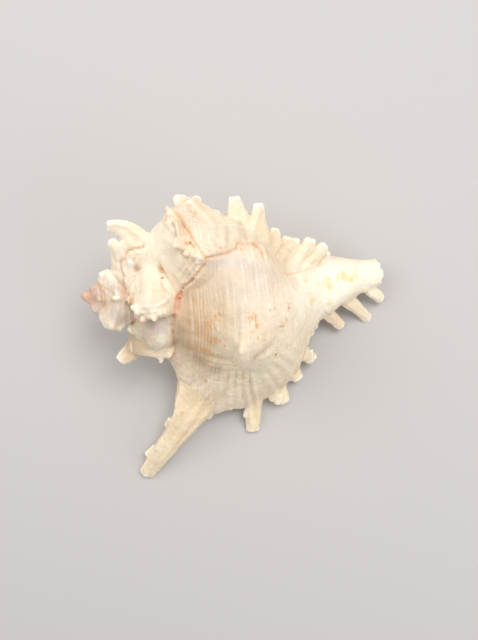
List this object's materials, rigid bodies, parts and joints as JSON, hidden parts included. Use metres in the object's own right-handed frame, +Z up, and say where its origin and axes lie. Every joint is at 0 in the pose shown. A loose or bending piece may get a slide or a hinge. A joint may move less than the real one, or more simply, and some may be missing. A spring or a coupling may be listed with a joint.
{
  "type": "branched murex shell",
  "caption": "Branched murex sea shell with a stepped spire, spiny ribs, an open mouth and a straight canal, lying on its mouth.",
  "frame": {"origin": "centre of the shell's outline seen from above, on the surface that it lies on", "axes": "+X runs from the apex towards the canal, +Y away from the outer lip, +Z up"},
  "size_m": [0.1704, 0.1555, 0.0814],
  "materials": {
    "shell": "matte chalky shell, cream with pink sutures"
  },
  "bodies": {
    "root": {"shell": "shell"}
  },
  "joints": []
}
